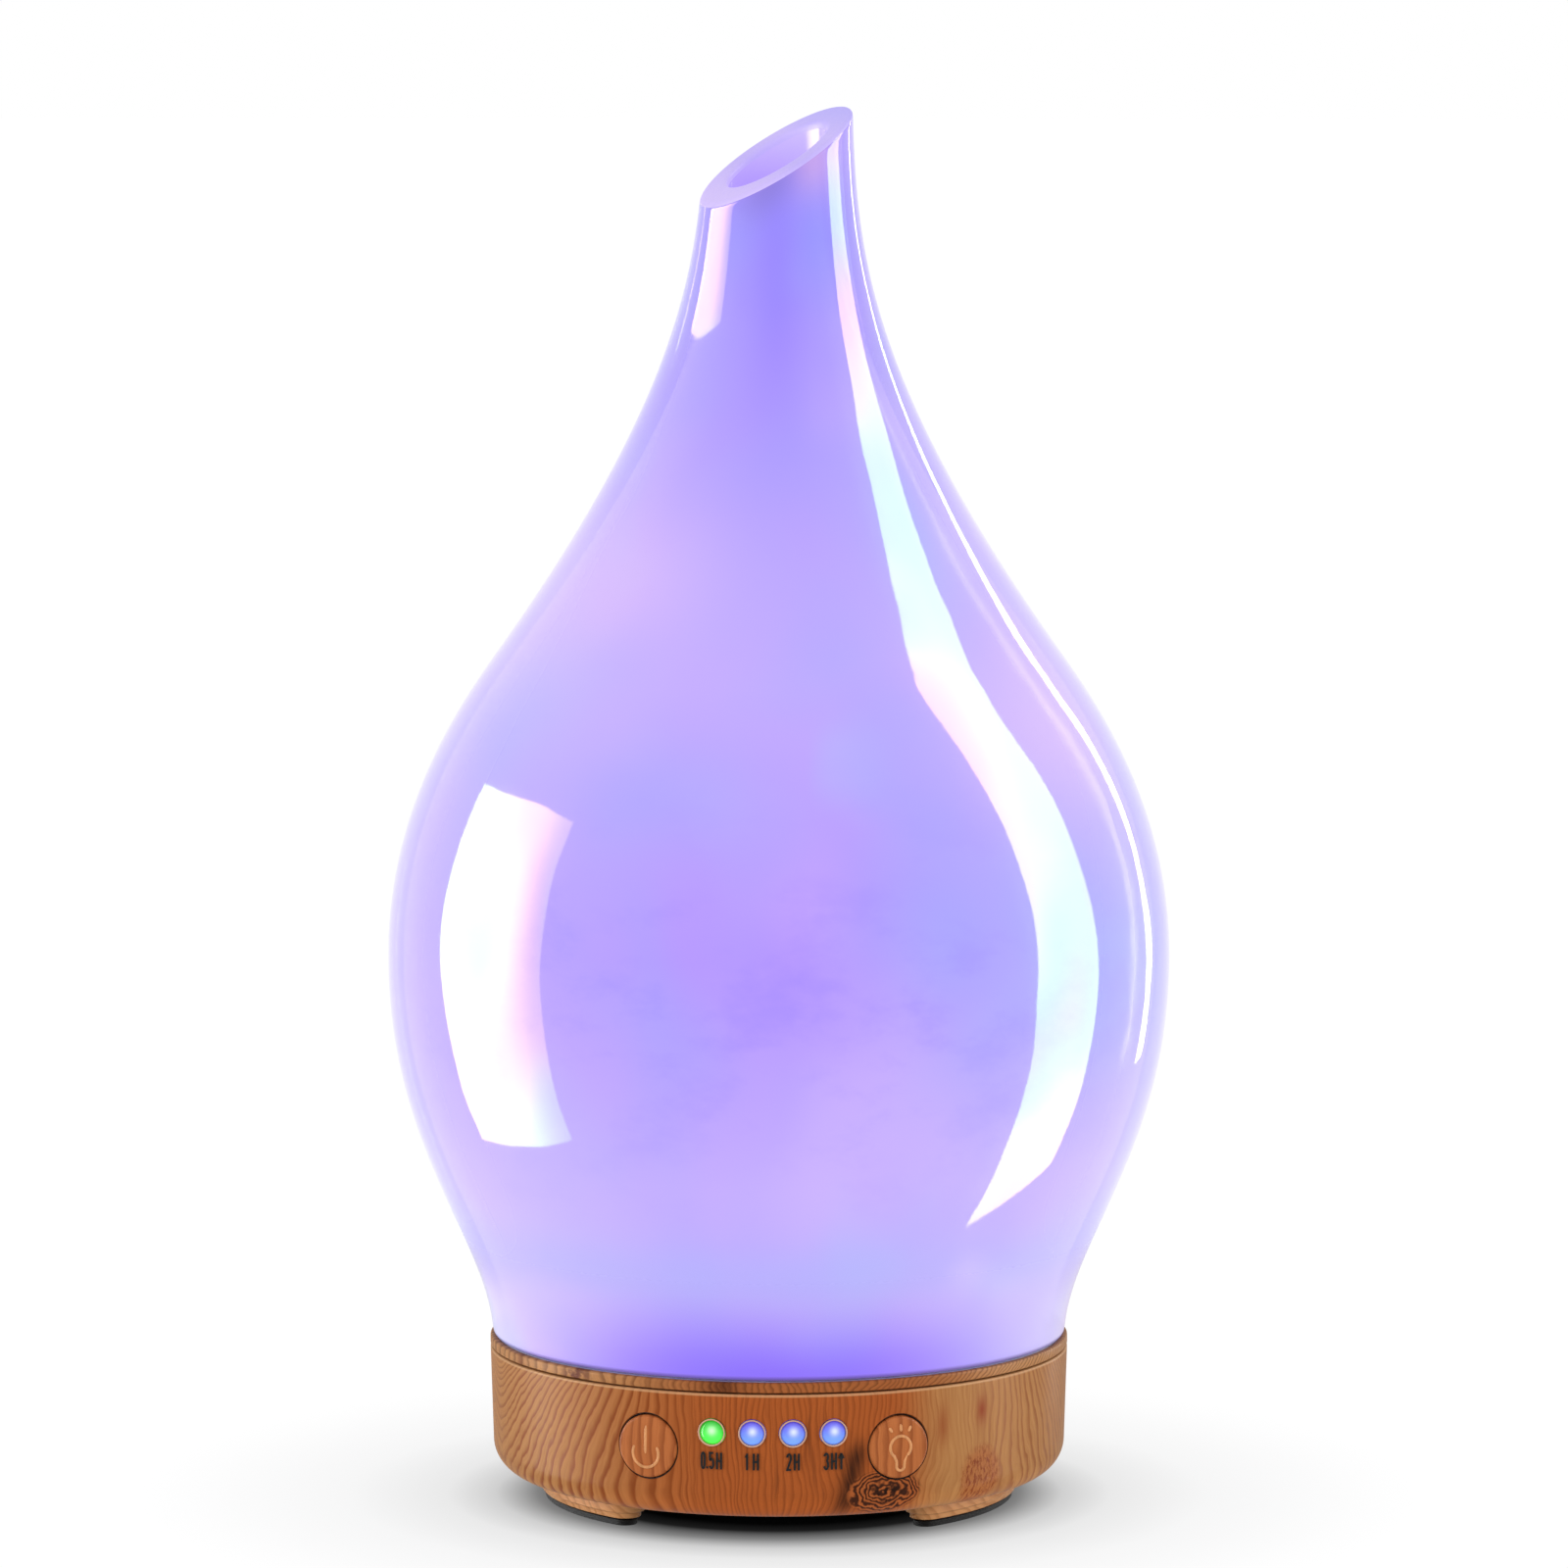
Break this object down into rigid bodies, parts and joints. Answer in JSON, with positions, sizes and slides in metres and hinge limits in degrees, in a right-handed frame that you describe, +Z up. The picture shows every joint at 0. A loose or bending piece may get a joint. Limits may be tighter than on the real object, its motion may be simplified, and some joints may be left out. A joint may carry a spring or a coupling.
{
  "type": "cool mist humidifier",
  "caption": "Table-top ultrasonic cool mist humidifier with a teardrop glass cover, slanted spout and round wood-look base with press buttons.",
  "frame": {"origin": "on the table, on the axis of the round base and the glass cover, under the rubber foot pads", "axes": "+Z up along the cover's axis, -Y towards the front controls, +X to the right seen from the front"},
  "size_m": [0.1348, 0.1348, 0.2404],
  "materials": {
    "glass": "pearlescent lavender blown glass, glossy",
    "wood_print": "satin wood-grain print on moulded plastic",
    "wood_cap": "satin wood-grain print on moulded plastic",
    "black_plastic": "fine matt moulded texture",
    "white_plastic": "translucent white polypropylene",
    "black_rubber": "matt rubber",
    "silicone": "translucent silicone",
    "green_board": "solder-mask coated board",
    "white_board": "white solder-mask coated board",
    "steel": "zinc-plated",
    "aluminium": "extruded, satin",
    "copper": "lacquered copper winding",
    "brass": "electrode-coated disc",
    "green_lens": "clear tinted light pipe, lit",
    "violet_lens": "clear tinted light pipe, lit",
    "led_resin": "clear resin",
    "blue_sleeve": "shrink sleeve",
    "red_wire": "wire insulation",
    "white_wire": "wire insulation"
  },
  "bodies": {
    "base": {"seat_ring": "wood_print", "glass_seat_gasket": "silicone", "base_housing": "wood_print", "mist_switch": "black_plastic", "light_switch": "black_plastic", "timer_lens_1": "green_lens", "timer_lens_2": "violet_lens", "timer_lens_3": "violet_lens", "timer_lens_4": "violet_lens", "timer_led_1": "led_resin", "timer_led_2": "led_resin", "timer_led_3": "led_resin", "timer_led_4": "led_resin", "led_holder": "black_plastic", "water_tank": "white_plastic", "tank_seal": "silicone", "transducer_gasket": "silicone", "transducer_disc": "brass", "transducer_retainer": "white_plastic", "retainer_screw_1": "steel", "retainer_screw_2": "steel", "retainer_screw_3": "steel", "fan_frame": "black_plastic", "air_duct": "white_plastic", "duct_seal": "silicone", "driver_board": "green_board", "drive_inductor": "copper", "filter_capacitor": "blue_sleeve", "controller_chip": "black_plastic", "heat_sink": "aluminium", "control_board": "green_board", "glow_board": "white_board", "glow_led_1": "led_resin", "glow_led_2": "led_resin", "glow_led_3": "led_resin", "glow_led_4": "led_resin", "glow_led_5": "led_resin", "glow_led_6": "led_resin", "dc_jack": "black_plastic", "transducer_lead": "red_wire", "fan_lead": "red_wire", "jack_lead": "white_wire", "bottom_cover": "black_plastic", "cover_screw_1": "steel", "cover_screw_2": "steel", "cover_screw_3": "steel", "foot_1": "wood_print", "foot_2": "wood_print", "foot_3": "wood_print", "foot_pad_1": "black_rubber", "foot_pad_2": "black_rubber", "foot_pad_3": "black_rubber"},
    "glass": {"glass_cover": "glass"},
    "inner_lid": {"inner_cover": "white_plastic"},
    "mist_button": {"mist_button": "wood_cap", "mist_plunger": "white_plastic"},
    "light_button": {"light_button": "wood_cap", "light_plunger": "white_plastic"},
    "fan_wheel": {"fan_rotor": "black_plastic"}
  },
  "joints": [
    {"name": "glass_cover_lift", "type": "slide", "parent": "base", "child": "glass", "axis": [0, 0, 1], "range_m": [0, 0.18]},
    {"name": "inner_cover_lift", "type": "slide", "parent": "base", "child": "inner_lid", "axis": [0, 0, 1], "range_m": [0, 0.05]},
    {"name": "mist_button_press", "type": "slide", "parent": "base", "child": "mist_button", "axis": [0.4258, 0.9048, 0], "range_m": [0, 0.0005], "stiffness_N_per_m": 800, "springref_m": -0.0003},
    {"name": "light_button_press", "type": "slide", "parent": "base", "child": "light_button", "axis": [-0.4258, 0.9048, 0], "range_m": [0, 0.0005], "stiffness_N_per_m": 800, "springref_m": -0.0003},
    {"name": "fan_spin", "type": "hinge", "parent": "base", "child": "fan_wheel", "pos_m": [0.028, 0, 0.011], "axis": [0, 0, 1], "continuous": true}
  ]
}
